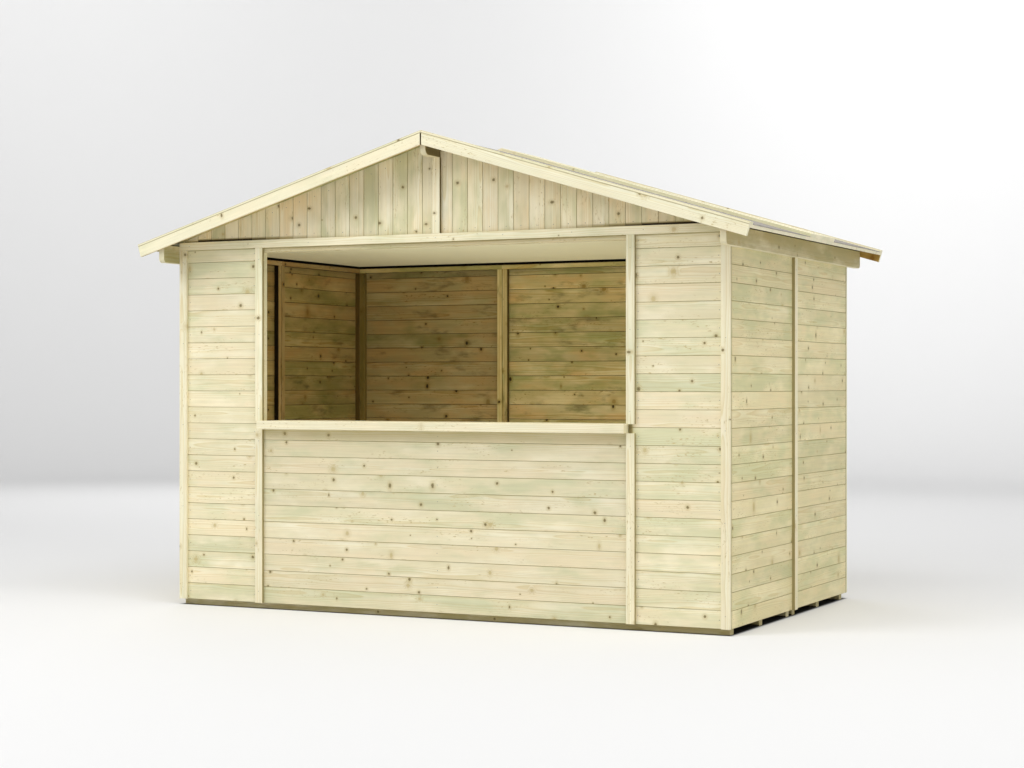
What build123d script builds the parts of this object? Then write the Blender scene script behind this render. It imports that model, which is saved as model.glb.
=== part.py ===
"""Wooden market stall with a serving opening, a counter and a felted ridge roof.

Millimetres. X runs along the front, Y from the front wall to the back wall, Z up.
The origin is on the ground, midway between the four walls.
"""
import os
from math import cos, radians, sin, tan

from build123d import *

os.makedirs("parts", exist_ok=True)

# Walls
wall_width = 3000
side_panel_depth = 889
wall_height = 1863          # outer face of a side wall, where it meets the roof boards
cladding_thickness = 12
cladding_bottom = 30        # the boards hang down over the edge of the floor
gable_drop = 27             # from there down to the top of the level boards, where a gable starts
back_joint_offset = 516     # from the middle of the back wall to each of its panel joints
panel_gap = 1               # hairline between the frames of two panels

# Serving opening and counter
opening_width = 2000
lintel_depth = 39           # boards left above the opening
counter_top = 949
counter_thickness = 42
counter_outside = 58        # reach in front of the boards
counter_inside = 192        # reach behind the face of the boards

# Frame timber
stud_width = 32
stud_depth = 28
rail_height = 32

# Floor
bearer_width = 44
bearer_height = 44
bearer_front_inset = 10     # from the front edge of a floor panel to its first bearer
bearer_back_inset = 37      # from its last bearer to its back edge
bearers_per_panel = 3
floor_thickness = 16

# Cover strips
strip_width = 44
strip_thickness = 16
strip_overhang = 7          # of an opening strip past the edge of the opening
batten_height = 41
batten_top_drop = 2         # below the top of a side wall

# Ceiling, which lies on the rail over the opening
ceiling_gap = 7             # open joint between the top rails and the ceiling
ceiling_thickness = 12

# Roof
roof_pitch = 16.67
side_overhang = 150         # from a side wall to the outer corner of the barge cap
gable_overhang = 169        # from a gable wall to the face of the barge board
deck_thickness = 16
felt_thickness = 2.5
cover_thickness = 18
cover_lap = 22              # of the joint cover over each roof panel
infill_width = 338          # gap between the two roof panels of a slope
cap_thickness = 12
cap_width = 44
barge_thickness = 16
barge_depth = 54
barge_gap = 5               # open joint between two barge boards at the ridge
ridge_joint = 1             # hairline between two caps, or two infill boards, at the ridge

# Purlins
purlin_thickness = 32
purlin_end_gap = 5          # between an end and the barge board in front of it
ridge_purlin_depth = 86
ridge_purlin_rounding = 30
eave_purlin_depth = 95
eave_purlin_drop = 6        # below the underside of the roof boards
eave_purlin_rounding = 20

# Places that follow from the sizes
wall_depth = 2 * side_panel_depth
wall_right = wall_width / 2
wall_front = -wall_depth / 2
wall_back = wall_depth / 2
inner_right = wall_right - cladding_thickness
inner_front = wall_front + cladding_thickness
inner_back = wall_back - cladding_thickness
frame_right = inner_right - stud_depth
frame_front = inner_front + stud_depth
frame_back = inner_back - stud_depth
front_wall_height = wall_height - gable_drop
opening_top = front_wall_height - lintel_depth
lintel_rail_top = opening_top + rail_height
ceiling_underside = lintel_rail_top
top_rail_top = ceiling_underside - ceiling_gap
floor_panel_depth = side_panel_depth - cladding_thickness
bearer_run = floor_panel_depth - bearer_front_inset - bearer_back_inset - bearer_width
bearer_spacing = bearer_run / (bearers_per_panel - 1)
floor_top = bearer_height + floor_thickness
stud_bottom = floor_top + rail_height
stud_top = top_rail_top - rail_height
counter_bottom = counter_top - counter_thickness
opening_right = opening_width / 2
batten_top = wall_height - batten_top_drop
batten_bottom = batten_top - batten_height
slope = radians(roof_pitch)
ridge_underside = wall_height + wall_right * tan(slope)
cap_layer = deck_thickness + cap_thickness
slope_length = (wall_right + side_overhang - cap_layer * sin(slope)) / cos(slope)
roof_front = wall_front - gable_overhang
roof_back = wall_back + gable_overhang
deck_front = roof_front + barge_thickness
deck_back = roof_back - barge_thickness
infill_front = -infill_width / 2
infill_back = infill_width / 2
cover_front = infill_front - cover_lap
cover_back = infill_back + cover_lap
ridge_purlin_bottom = ridge_underside - ridge_purlin_depth
purlin_front = deck_front + purlin_end_gap
purlin_back = deck_back - purlin_end_gap

LEFT = -1
RIGHT = 1


def timber(x_span, y_span, z_span):
    """Add one straight piece with square edges to the part that is being built."""
    size = [max(span) - min(span) for span in (x_span, y_span, z_span)]
    with Locations((min(x_span), min(y_span), min(z_span))):
        Box(*size, align=(Align.MIN, Align.MIN, Align.MIN))


def boards_underside(x):
    """Height of the underside of the roof boards at a distance from the middle."""
    return ridge_underside - abs(x) * tan(slope)


def slope_corner(side, layer):
    """Corner of the square-cut eave, on a layer counted up from the underside of the boards."""
    x = slope_length * cos(slope) + layer * sin(slope)
    return (side * x, ridge_underside - slope_length * sin(slope) + layer * cos(slope))


def ridge_corner(side, layer, gap=0):
    """Corner of a plumb cut near the ridge, on the same layer."""
    return (side * gap, boards_underside(gap) + layer / cos(slope))


def slope_sheet(side, bottom_layer, top_layer, y_span, gap=0):
    """Add a board or sheet that lies down one slope, from the ridge to the eave."""
    with BuildSketch(Plane.XZ.offset(-y_span[0])) as section:
        with BuildLine():
            Polyline(
                ridge_corner(side, bottom_layer, gap),
                slope_corner(side, bottom_layer),
                slope_corner(side, top_layer),
                ridge_corner(side, top_layer, gap),
                close=True,
            )
        make_face()
    extrude(section.sketch, amount=y_span[0] - y_span[1])


def save(piece, name):
    """Label a finished piece and write it under its own name."""
    piece.part.label = name
    export_step(piece.part, f"parts/{name}.step")


# Floor: two panels, each of boards on three bearers
for place, panel_start in (("front", inner_front), ("rear", 0)):
    panel_end = panel_start + floor_panel_depth
    with BuildPart() as floor_bearers:
        for count in range(bearers_per_panel):
            bearer_start = panel_start + bearer_front_inset + count * bearer_spacing
            timber(
                (-inner_right, inner_right),
                (bearer_start, bearer_start + bearer_width),
                (0, bearer_height),
            )
    save(floor_bearers, f"floor_bearers_{place}")

    with BuildPart() as floor_boards:
        timber((-inner_right, inner_right), (panel_start, panel_end), (bearer_height, floor_top))
    save(floor_boards, f"floor_boards_{place}")

# Front wall boards: one field each side of the opening, one below it and a lintel above it
for place, side in (("left", LEFT), ("right", RIGHT)):
    with BuildPart() as front_wall_side:
        timber(
            (side * opening_right, side * wall_right),
            (wall_front, inner_front),
            (cladding_bottom, front_wall_height),
        )
    save(front_wall_side, f"front_wall_{place}")

with BuildPart() as front_wall_lower:
    timber((-opening_right, opening_right), (wall_front, inner_front), (cladding_bottom, counter_bottom))
save(front_wall_lower, "front_wall_lower")

with BuildPart() as front_lintel:
    timber((-opening_right, opening_right), (wall_front, inner_front), (opening_top, front_wall_height))
save(front_lintel, "front_lintel")

# Side wall boards, cut to the slope of the roof along their top
for place, side in (("left", LEFT), ("right", RIGHT)):
    for half, y_span in (("front", (inner_front, 0)), ("rear", (0, inner_back))):
        with BuildPart() as side_wall:
            with BuildSketch(Plane.XZ.offset(-y_span[0])):
                with BuildLine():
                    Polyline(
                        (side * inner_right, cladding_bottom),
                        (side * wall_right, cladding_bottom),
                        (side * wall_right, boards_underside(wall_right)),
                        (side * inner_right, boards_underside(inner_right)),
                        close=True,
                    )
                make_face()
            extrude(amount=y_span[0] - y_span[1])
        save(side_wall, f"{place}_wall_{half}")

# Back wall boards: three panels
back_joints = (-wall_right, -back_joint_offset, back_joint_offset, wall_right)
for place, x_start, x_end in zip(("left", "centre", "right"), back_joints[:-1], back_joints[1:]):
    with BuildPart() as back_wall:
        timber((x_start, x_end), (inner_back, wall_back), (cladding_bottom, front_wall_height))
    save(back_wall, f"back_wall_{place}")

# Front wall frame
jamb_outer = opening_right + stud_width
side_field_start = jamb_outer + panel_gap
with BuildPart() as front_wall_studs:
    for side in (LEFT, RIGHT):
        for stud_start in (side_field_start, frame_right - stud_width):
            timber(
                (side * stud_start, side * (stud_start + stud_width)),
                (inner_front, frame_front),
                (stud_bottom, stud_top),
            )
        timber(
            (side * opening_right, side * jamb_outer),
            (inner_front, frame_front),
            (stud_bottom, lintel_rail_top),
        )
    timber(
        (-stud_width / 2, stud_width / 2),
        (inner_front, frame_front),
        (stud_bottom, counter_bottom - rail_height),
    )
save(front_wall_studs, "front_wall_studs")

with BuildPart() as front_wall_rails:
    timber((-jamb_outer, jamb_outer), (inner_front, frame_front), (floor_top, stud_bottom))
    timber(
        (-opening_right, opening_right),
        (inner_front, frame_front),
        (counter_bottom - rail_height, counter_bottom),
    )
    timber((-opening_right, opening_right), (inner_front, frame_front), (opening_top, lintel_rail_top))
    for side in (LEFT, RIGHT):
        for z_span in ((floor_top, stud_bottom), (stud_top, top_rail_top)):
            timber((side * side_field_start, side * frame_right), (inner_front, frame_front), z_span)
save(front_wall_rails, "front_wall_rails")

# Side wall frames: two panels each, with a stud at both ends of a panel
half_gap = panel_gap / 2
side_stud_starts = (inner_front, -half_gap - stud_width, half_gap, inner_back - stud_width)
for place, side in (("left", LEFT), ("right", RIGHT)):
    x_span = (side * frame_right, side * inner_right)
    with BuildPart() as side_wall_studs:
        for stud_start in side_stud_starts:
            timber(x_span, (stud_start, stud_start + stud_width), (stud_bottom, stud_top))
    save(side_wall_studs, f"{place}_wall_studs")

    with BuildPart() as side_wall_rails:
        for y_span in ((inner_front, -half_gap), (half_gap, inner_back)):
            for z_span in ((floor_top, stud_bottom), (stud_top, top_rail_top)):
                timber(x_span, y_span, z_span)
    save(side_wall_rails, f"{place}_wall_rails")

# Back wall frame: three panels
back_panel_spans = (
    (-frame_right, -back_joint_offset - half_gap),
    (-back_joint_offset + half_gap, back_joint_offset - half_gap),
    (back_joint_offset + half_gap, frame_right),
)
with BuildPart() as back_wall_studs:
    for x_start, x_end in back_panel_spans:
        timber((x_start, x_start + stud_width), (frame_back, inner_back), (stud_bottom, stud_top))
        timber((x_end - stud_width, x_end), (frame_back, inner_back), (stud_bottom, stud_top))
save(back_wall_studs, "back_wall_studs")

with BuildPart() as back_wall_rails:
    for x_span in back_panel_spans:
        for z_span in ((floor_top, stud_bottom), (stud_top, top_rail_top)):
            timber(x_span, (frame_back, inner_back), z_span)
save(back_wall_rails, "back_wall_rails")

# Cover strips on the corners, beside the opening and over the panel joints
front_strip_span = (wall_front - strip_thickness, wall_front)
back_strip_span = (wall_back, wall_back + strip_thickness)
with BuildPart() as corner_strips:
    for side in (LEFT, RIGHT):
        for y_span in (front_strip_span, back_strip_span):
            timber(
                (side * (wall_right - strip_width), side * wall_right),
                y_span,
                (cladding_bottom, batten_bottom),
            )
save(corner_strips, "corner_strips")

opening_strip_start = opening_right - strip_overhang
with BuildPart() as opening_strips:
    for side in (LEFT, RIGHT):
        for z_span in ((cladding_bottom, counter_bottom), (counter_top, batten_bottom)):
            timber(
                (side * opening_strip_start, side * (opening_strip_start + strip_width)),
                front_strip_span,
                z_span,
            )
save(opening_strips, "opening_strips")

eave_purlin_top = boards_underside(wall_right + purlin_thickness) - eave_purlin_drop
eave_purlin_bottom = eave_purlin_top - eave_purlin_depth
with BuildPart() as joint_strips:
    for side in (LEFT, RIGHT):
        timber(
            (side * wall_right, side * (wall_right + strip_thickness)),
            (-strip_width / 2, strip_width / 2),
            (cladding_bottom, eave_purlin_bottom),
        )
        timber(
            (side * back_joint_offset - strip_width / 2, side * back_joint_offset + strip_width / 2),
            back_strip_span,
            (cladding_bottom, batten_bottom),
        )
save(joint_strips, "joint_strips")

# Level battens that cover the joint between each wall and its gable
with BuildPart() as gable_battens:
    for y_span in (front_strip_span, back_strip_span):
        timber((-wall_right, wall_right), y_span, (batten_bottom, batten_top))
save(gable_battens, "gable_battens")

# Gables: two halves of upright boards, notched for the ridge purlin
purlin_edge = purlin_thickness / 2
for face, y_span in (("front", (wall_front, inner_front)), ("back", (inner_back, wall_back))):
    for place, side in (("left", LEFT), ("right", RIGHT)):
        with BuildPart() as gable:
            with BuildSketch(Plane.XZ.offset(-y_span[0])):
                with BuildLine():
                    Polyline(
                        (0, front_wall_height),
                        (side * wall_right, front_wall_height),
                        (side * wall_right, boards_underside(wall_right)),
                        (side * purlin_edge, boards_underside(purlin_edge)),
                        (side * purlin_edge, ridge_purlin_bottom),
                        (0, ridge_purlin_bottom),
                        close=True,
                    )
                make_face()
            extrude(amount=y_span[0] - y_span[1])
        save(gable, f"gable_{face}_{place}")

with BuildPart() as gable_strips:
    for y_span in (front_strip_span, back_strip_span):
        timber((-strip_width / 2, strip_width / 2), y_span, (batten_top, ridge_purlin_bottom))
save(gable_strips, "gable_strips")

# Purlins, rounded under both ends
with BuildPart() as ridge_purlin:
    with BuildSketch(Plane.XZ.offset(-purlin_front)):
        with BuildLine():
            Polyline(
                (-purlin_edge, ridge_purlin_bottom),
                (purlin_edge, ridge_purlin_bottom),
                (purlin_edge, boards_underside(purlin_edge)),
                (0, ridge_underside),
                (-purlin_edge, boards_underside(purlin_edge)),
                close=True,
            )
        make_face()
    extrude(amount=purlin_front - purlin_back)
    ridge_purlin_ends = ridge_purlin.edges().filter_by(Axis.X).group_by(Axis.Z)[0]
    fillet(ridge_purlin_ends, radius=ridge_purlin_rounding)
save(ridge_purlin, "ridge_purlin")

with BuildPart() as eave_purlins:
    for side in (LEFT, RIGHT):
        timber(
            (side * wall_right, side * (wall_right + purlin_thickness)),
            (purlin_front, purlin_back),
            (eave_purlin_bottom, eave_purlin_top),
        )
    eave_purlin_ends = eave_purlins.edges().filter_by(Axis.X).group_by(Axis.Z)[0]
    fillet(eave_purlin_ends, radius=eave_purlin_rounding)
save(eave_purlins, "eave_purlins")

# Ceiling between the wall boards, laid on the lintel rail
with BuildPart() as ceiling:
    timber(
        (-inner_right, inner_right),
        (inner_front, inner_back),
        (ceiling_underside, ceiling_underside + ceiling_thickness),
    )
save(ceiling, "ceiling")

# Roof: two board panels a slope, infill boards between them, felt, and a raised joint cover
felt_layer = deck_thickness + felt_thickness
cover_layer = deck_thickness + cover_thickness
for place, side in (("left", LEFT), ("right", RIGHT)):
    with BuildPart() as roof_panels:
        slope_sheet(side, 0, deck_thickness, (deck_front, infill_front))
        slope_sheet(side, 0, deck_thickness, (infill_back, deck_back))
    save(roof_panels, f"roof_panels_{place}")

    with BuildPart() as roof_felt:
        slope_sheet(side, deck_thickness, felt_layer, (roof_front + cap_width, cover_front))
        slope_sheet(side, deck_thickness, felt_layer, (cover_back, roof_back - cap_width))
    save(roof_felt, f"roof_felt_{place}")

    with BuildPart() as roof_joint_cover:
        slope_sheet(side, deck_thickness, cover_layer, (cover_front, cover_back))
    save(roof_joint_cover, f"roof_joint_cover_{place}")

with BuildPart() as roof_infill:
    for side in (LEFT, RIGHT):
        slope_sheet(side, 0, deck_thickness, (infill_front, infill_back), ridge_joint / 2)
save(roof_infill, "roof_infill")

# Barge boards on the ends of the roof boards, and caps that lie on their top edges
with BuildPart() as barge_boards:
    for side in (LEFT, RIGHT):
        for y_span in ((roof_front, deck_front), (deck_back, roof_back)):
            slope_sheet(side, deck_thickness - barge_depth, deck_thickness, y_span, barge_gap / 2)
save(barge_boards, "barge_boards")

with BuildPart() as barge_caps:
    for side in (LEFT, RIGHT):
        for y_span in ((roof_front, roof_front + cap_width), (roof_back - cap_width, roof_back)):
            slope_sheet(side, deck_thickness, cap_layer, y_span, ridge_joint / 2)
save(barge_caps, "barge_caps")

# Counter board on the lower front wall, between the jambs
with BuildPart() as counter:
    timber(
        (-opening_right, opening_right),
        (wall_front - counter_outside, wall_front + counter_inside),
        (counter_bottom, counter_top),
    )
save(counter, "counter")
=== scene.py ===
"""Looks of the wooden market stall: boards, trim, frame, floor and roof, and the studio round it.

Metres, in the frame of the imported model: X along the front, Y from front to back, Z up.
"""
import math
import random

import bmesh
import bpy
from mathutils import Matrix, Vector


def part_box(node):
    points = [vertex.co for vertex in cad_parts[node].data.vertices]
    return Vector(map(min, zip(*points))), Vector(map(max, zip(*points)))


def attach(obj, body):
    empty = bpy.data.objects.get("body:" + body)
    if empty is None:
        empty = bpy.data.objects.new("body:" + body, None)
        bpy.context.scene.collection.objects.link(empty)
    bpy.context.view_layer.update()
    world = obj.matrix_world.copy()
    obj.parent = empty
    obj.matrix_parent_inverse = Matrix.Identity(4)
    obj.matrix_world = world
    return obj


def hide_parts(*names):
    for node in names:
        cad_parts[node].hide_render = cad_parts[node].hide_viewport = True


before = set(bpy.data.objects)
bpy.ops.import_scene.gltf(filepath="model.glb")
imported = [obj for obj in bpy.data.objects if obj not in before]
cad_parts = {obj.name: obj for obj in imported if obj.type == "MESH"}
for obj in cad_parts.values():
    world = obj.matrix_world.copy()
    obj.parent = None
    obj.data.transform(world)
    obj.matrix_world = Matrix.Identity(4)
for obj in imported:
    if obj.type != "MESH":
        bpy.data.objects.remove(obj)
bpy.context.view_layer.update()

LEFT = -1
RIGHT = 1
SIDES = (("left", LEFT), ("right", RIGHT))
ACROSS = Vector((1, 0, 0))      # along the front
BACKWARD = Vector((0, 1, 0))    # from the front wall to the back wall
UP = Vector((0, 0, 1))


def low(node):
    """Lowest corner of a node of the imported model."""
    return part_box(node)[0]


def high(node):
    """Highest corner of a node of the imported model."""
    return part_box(node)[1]


# Walls and roof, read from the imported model
wall_right = high("front_wall_right").x
wall_front = low("front_wall_left").y
wall_back = high("back_wall_left").y
boards_bottom = low("front_wall_left").z
level_boards_top = high("front_wall_left").z
batten_bottom = low("gable_battens").z
batten_top = high("gable_battens").z
counter_low, counter_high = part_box("counter")
ridge_underside = high("ridge_purlin").z
roof_rise = (ridge_underside - high("right_wall_front").z) / low("right_wall_front").x
slope_sine = math.sin(math.atan(roof_rise))
slope_cosine = math.cos(math.atan(roof_rise))

# Roof layers, counted up from the underside of the roof boards
deck_thickness = 0.016
felt_thickness = 0.0025
cover_thickness = 0.018
cap_thickness = 0.012
cap_width = 0.044
barge_depth = 0.054
barge_joint = 0.0035            # half the open joint at the ridge
ridge_joint = 0.0005            # half the hairline at the ridge
slope_length = (high("roof_panels_right").x - deck_thickness * slope_sine) / slope_cosine

# Tongue and groove boards
cladding = 0.012
board_cover = 0.0822
gable_cover = 0.082
roof_cover = 0.082
floor_cover = 0.088
joint_half_gap = 0.0005
joint_chamfer = 0.0014
tongue_start = 0.36             # share of the thickness where the tongue starts
tongue_end = 0.66

# Square timber
arris = 0.002
arris_steps = 3
counter_arris = 0.003
cap_arris = 0.003
saw_chamfer = 0.0006

# Where boards are cut from their trees
log_length = 60.0               # metres of grain that all boards are taken from
pith_reach = (-0.2, 1.2)        # place of the middle of the tree, in shares of a board's width
pith_depths = (0.015, 0.07)     # and its distance from the board's near face

# Marks on a corner of a section: 0 is a clean face, 1 a joint, 2 a face that stays in the dark
joint_mark = 1.0
# Marks between a joint and the dark are painted shade, on faces and edges that get little light
olive_mark = 1.35
brown_mark = 1.6
inner_joint_mark = 1.8          # a joint on the inside of a wall, darkened further by painted shade
dark_mark = 2.0
highlight_mark = -1.0                # a painted highlight, on arrises and on the eave ends of roof boards
seam_mark = 0.9                 # painted shade between a barge board and its cap
HIGHLIGHT_ARRISES = (highlight_mark,) * 4

# Shades along an edge that lies close under or over another piece
shade = 0.005
shade_fade = 0.003

# How far the nails stray from their places
nail_wander = 0.003
row_wander = 0.002
floor_wander = 0.004

# Shares of a timber's thickness, from its near face, where it takes the painted shade of the inside
OUTDOORS = (2.0, 2.0)
FAR_FACE = (0.8, 1.0)
NEAR_FACE = (0.0, 0.2)
ALL_ROUND = (0.0, 1.0)

tiny = 1e-6                     # for comparing lengths
nearly = 1e-4                   # for comparing places read from the model
weld_distance = 1e-5


def underside(x):
    """Height of the underside of the roof boards at a distance from the middle."""
    return ridge_underside - abs(x) * roof_rise


def solids(node):
    """Lowest and highest corner of each separate solid of a node."""
    mesh = bmesh.new()
    mesh.from_mesh(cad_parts[node].data)
    bmesh.ops.remove_doubles(mesh, verts=mesh.verts, dist=weld_distance)
    left = set(mesh.verts)
    boxes = []
    while left:
        open_ends = [left.pop()]
        found = list(open_ends)
        while open_ends:
            for edge in open_ends.pop().link_edges:
                for other in left.intersection(edge.verts):
                    left.remove(other)
                    found.append(other)
                    open_ends.append(other)
        boxes.append([
            Vector([pick(vertex.co[axis] for vertex in found) for axis in range(3)])
            for pick in (min, max)
        ])
    mesh.free()
    return sorted(boxes, key=lambda box: tuple(round(value, 4) for value in box[0]))


trim_nodes = ("corner_strips", "joint_strips", "opening_strips", "gable_strips", "gable_battens")
trim_boxes = [box for node in trim_nodes for box in solids(node)]
covering_boxes = trim_boxes + solids("eave_purlins")
trim_clearance = 0.003


def under_trim(place):
    """Whether a place on the boards lies under a strip, a batten or a purlin, or too close to one."""
    return any(
        all(
            lowest[axis] - trim_clearance < place[axis] < highest[axis] + trim_clearance
            for axis in range(3)
        )
        for lowest, highest in covering_boxes
    )


# Timber sections: (across, depth, mark) points


def tongue_section(width, thickness, first_joint=True, last_joint=True, cut_mark=0.0, far_mark=joint_mark):
    """Section of a tongue and groove board with small bevels on both of its faces."""
    tongue_low = tongue_start * thickness
    tongue_high = tongue_end * thickness

    def edge(start, inward, is_joint):
        side = start + inward * (joint_half_gap if is_joint else 0.0)
        face = side + inward * joint_chamfer
        near_mark, last_mark = (joint_mark, far_mark) if is_joint else (cut_mark, cut_mark)
        steps = ((side, tongue_low), (start, tongue_low), (start, tongue_high), (side, tongue_high))
        return [
            (face, 0, 0),
            (side, joint_chamfer, near_mark),
            *((*step, joint_mark) for step in steps if is_joint),
            (side, thickness - joint_chamfer, last_mark),
            (face, thickness, 0),
        ]

    return edge(0, 1, first_joint) + edge(width, -1, last_joint)[::-1]


def square_section(width, thickness, rounding=arris, sides=(0.0, 0.0), arrises=HIGHLIGHT_ARRISES, face_mark=0.0):
    """Section of planed timber with rounded arrises. Each side, arris and face has its mark."""
    points = []
    corners = (
        (rounding, rounding, math.pi, sides[0], False),
        (width - rounding, rounding, 1.5 * math.pi, sides[1], True),
        (width - rounding, thickness - rounding, 0, sides[1], False),
        (rounding, thickness - rounding, 0.5 * math.pi, sides[0], True),
    )
    for (across, depth, start, side_mark, ends_on_side), arris_mark in zip(corners, arrises):
        for step in range(arris_steps + 1):
            angle = start + step / arris_steps * math.pi / 2
            share = (step if ends_on_side else arris_steps - step) / arris_steps
            mark = max(side_mark * share, face_mark)
            if side_mark == 0 and 0 < step < arris_steps:
                mark = arris_mark
            points.append((across + rounding * math.cos(angle), depth + rounding * math.sin(angle), mark))
    return points


def bearer_section(width, height):
    """Section of a bearer, with painted shade: black where it stands on the ground, brown close under the
    boards.
    """
    points = square_section(width, height, arris, (dark_mark, dark_mark))
    shades = (
        (shade, dark_mark),
        (shade + shade_fade, 0),
        (height - shade - shade_fade, 0),
        (height - shade, brown_mark),
    )
    right_side = [(width, *step) for step in shades]
    left_side = [(0, *step) for step in reversed(shades)]
    half = len(points) // 2
    return points[:half] + right_side + points[half:] + left_side


def placing(origin, along, across, depth):
    """Matrix that carries (along, across, depth) of a timber to its place."""
    matrix = Matrix((along, across, depth)).transposed().to_4x4()
    matrix.translation = origin
    return matrix


def shrunk(section, amount):
    """The section pulled in towards its middle, for the chamfer of a sawn end."""
    middles = [(min(values) + max(values)) / 2 for values in list(zip(*section))[:2]]

    def pull(value, middle):
        return value - math.copysign(min(amount, abs(value - middle)), value - middle)

    return [(pull(across, middles[0]), pull(depth, middles[1]), mark) for across, depth, mark in section]


def banded(corners, bands):
    """The faces that close an end: its lower part, then the bands between its last points."""
    start = len(corners) - 2 * (bands + 1)
    right = corners[start:start + bands + 1]
    left = corners[:-bands - 2:-1]
    steps = [(right[band], right[band + 1], left[band + 1], left[band]) for band in range(bands)]
    return [corners[:start + 1] + corners[-1:], *steps]


def inset(outline, amount):
    """A convex outline moved inwards by an amount."""
    middle = sum((Vector(point) for point in outline), Vector((0, 0))) / len(outline)
    moved = []
    for index, point in enumerate(outline):
        here = Vector(point)
        after = Vector(outline[(index + 1) % len(outline)])
        bisector = Vector((0, 0))
        for edge in (here - Vector(outline[index - 1]), after - here):
            normal = Vector((-edge.y, edge.x)).normalized()
            bisector += normal if normal.dot(middle - here) > 0 else -normal
        moved.append(tuple(here + bisector * (2 * amount / bisector.length_squared)))
    return moved


def make_piece(name, points, faces, material, slot, *nodes, **attributes):
    """Put closed shapes in the scene as one piece, on the stall's one body, faces turned outwards."""
    mesh = bpy.data.meshes.new(name)
    mesh.from_pydata(points, [], faces)
    for label, values in attributes.items():
        attribute = mesh.attributes.new(label, "FLOAT_VECTOR", "POINT")
        attribute.data.foreach_set("vector", [number for value in values for number in value])
    shape = bmesh.new()
    shape.from_mesh(mesh)
    bmesh.ops.recalc_face_normals(shape, faces=shape.faces)
    shape.to_mesh(mesh)
    shape.free()
    mesh.materials.append(material)
    piece = bpy.data.objects.new(name, mesh)
    bpy.context.scene.collection.objects.link(piece)
    if nodes:
        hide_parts(*nodes)
    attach(piece, "root")


class Joinery:
    """Timber that is gathered into one mesh, where each board keeps its own grain."""

    def __init__(self, name):
        self.name = name
        self.chance = random.Random(name)
        self.points = []
        self.faces = []
        self.grain = []
        self.marks = []
        self.next_board(board_cover)

    def next_board(self, width):
        """Draw the cut of a new board: where the middle of its tree lay, and its tone."""
        self.along_shift = self.chance.uniform(0, log_length)
        self.pith_across = self.chance.uniform(*pith_reach) * width
        self.pith_depth = self.chance.choice((-1, 1)) * self.chance.uniform(*pith_depths)
        self.tone = self.chance.random()

    def point(self, place, along, across, depth, mark, inside=0.0):
        """Add a corner of the current board."""
        self.points.append(place @ Vector((along, across, depth)))
        self.grain.append((along + self.along_shift, across - self.pith_across, depth - self.pith_depth))
        self.marks.append((self.tone, mark, inside))

    def skin(self, first, count, rings, bands=0):
        """Close the newest rings of points into a solid, with bands across its ends."""
        for base in range(first, first + (rings - 1) * count, count):
            above = base + count
            for index in range(count):
                following = (index + 1) % count
                self.faces.append((base + index, base + following, above + following, above + index))
        for base in (first, first + (rings - 1) * count):
            self.faces.extend(banded(list(range(base, base + count)), bands))

    def prism(self, section, start, end, place, saw=0.0, inner=OUTDOORS, end_marks=(0.0, 0.0), foot=None):
        """Add timber of one section. Its cuts, start and end, are lengths or rules for each point.

        A foot is the height, the fade and the mark of a part at the start that is marked all over, as
        painted shade.
        """
        cuts = [cut if callable(cut) else (lambda *point, cut=cut: cut) for cut in (start, end)]
        thickness = max(point[1] for point in section)
        any_mark = (highlight_mark, dark_mark)
        rings = [(section, cuts[0], saw, any_mark), (section, cuts[1], -saw, any_mark)]
        if foot:
            foot_height, foot_fade, foot_mark = foot
            rings[:1] = [
                (section, cuts[0], saw, (foot_mark, dark_mark)),
                (section, cuts[0], foot_height, (foot_mark, dark_mark)),
                (section, cuts[0], foot_height + foot_fade, any_mark),
            ]
        if saw:
            trimmed = shrunk(section, saw)
            start_face, end_face = [(trimmed, cut, 0, (mark, mark)) for cut, mark in zip(cuts, end_marks)]
            rings = [start_face, *rings, end_face]
        first = len(self.points)
        for outline, cut, shift, (least, most) in rings:
            for across, depth, mark in outline:
                in_the_dark = inner[0] * thickness - tiny <= depth <= inner[1] * thickness + tiny
                inside = float(in_the_dark and least < most)
                shown = min(max(mark, least), most)
                self.point(place, cut(across, depth) + shift, across, depth, shown, inside)
        self.skin(first, len(section), len(rings))

    def timber(self, lowest, highest, rule=square_section, inner=OUTDOORS, **values):
        """Add a piece of timber that fills a box, with the grain along its longest side."""
        size = highest - lowest
        order = sorted(range(3), key=lambda axis: -size[axis])
        axes = [Vector([float(row == axis) for row in range(3)]) for axis in order]
        length, width, thickness = [size[axis] for axis in order]
        self.next_board(width)
        section = rule(width, thickness, **values)
        self.prism(section, 0.0, length, placing(lowest, *axes), saw=saw_chamfer, inner=inner)

    def plate(self, outline, thickness, place, face_mark=0.0, top_mark=0.0):
        """Add a sawn shape with painted highlights on its edges, where outline is its convex side view.

        The last six (along, across) points of the outline are the steps of a shade along its top.
        """
        self.next_board(thickness)
        inner = inset(outline, arris)
        rings = (
            (inner, 0.0, face_mark),
            (outline, arris, highlight_mark),
            (outline, thickness - arris, highlight_mark),
            (inner, thickness, face_mark),
        )
        first = len(self.points)
        shaded = range(len(outline) - 5, len(outline) - 1)
        for points, depth, mark in rings:
            for index, (along, across) in enumerate(points):
                self.point(place, along, across, depth, max(top_mark, mark) if index in shaded else mark)
        self.skin(first, len(outline), len(rings), bands=2)

    def make(self, material, slot, *nodes):
        """Turn the gathered timber into a piece that stands for its nodes."""
        lists = {"grain": self.grain, "marks": self.marks}
        make_piece(self.name, self.points, self.faces, material, slot, *nodes, **lists)


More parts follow.
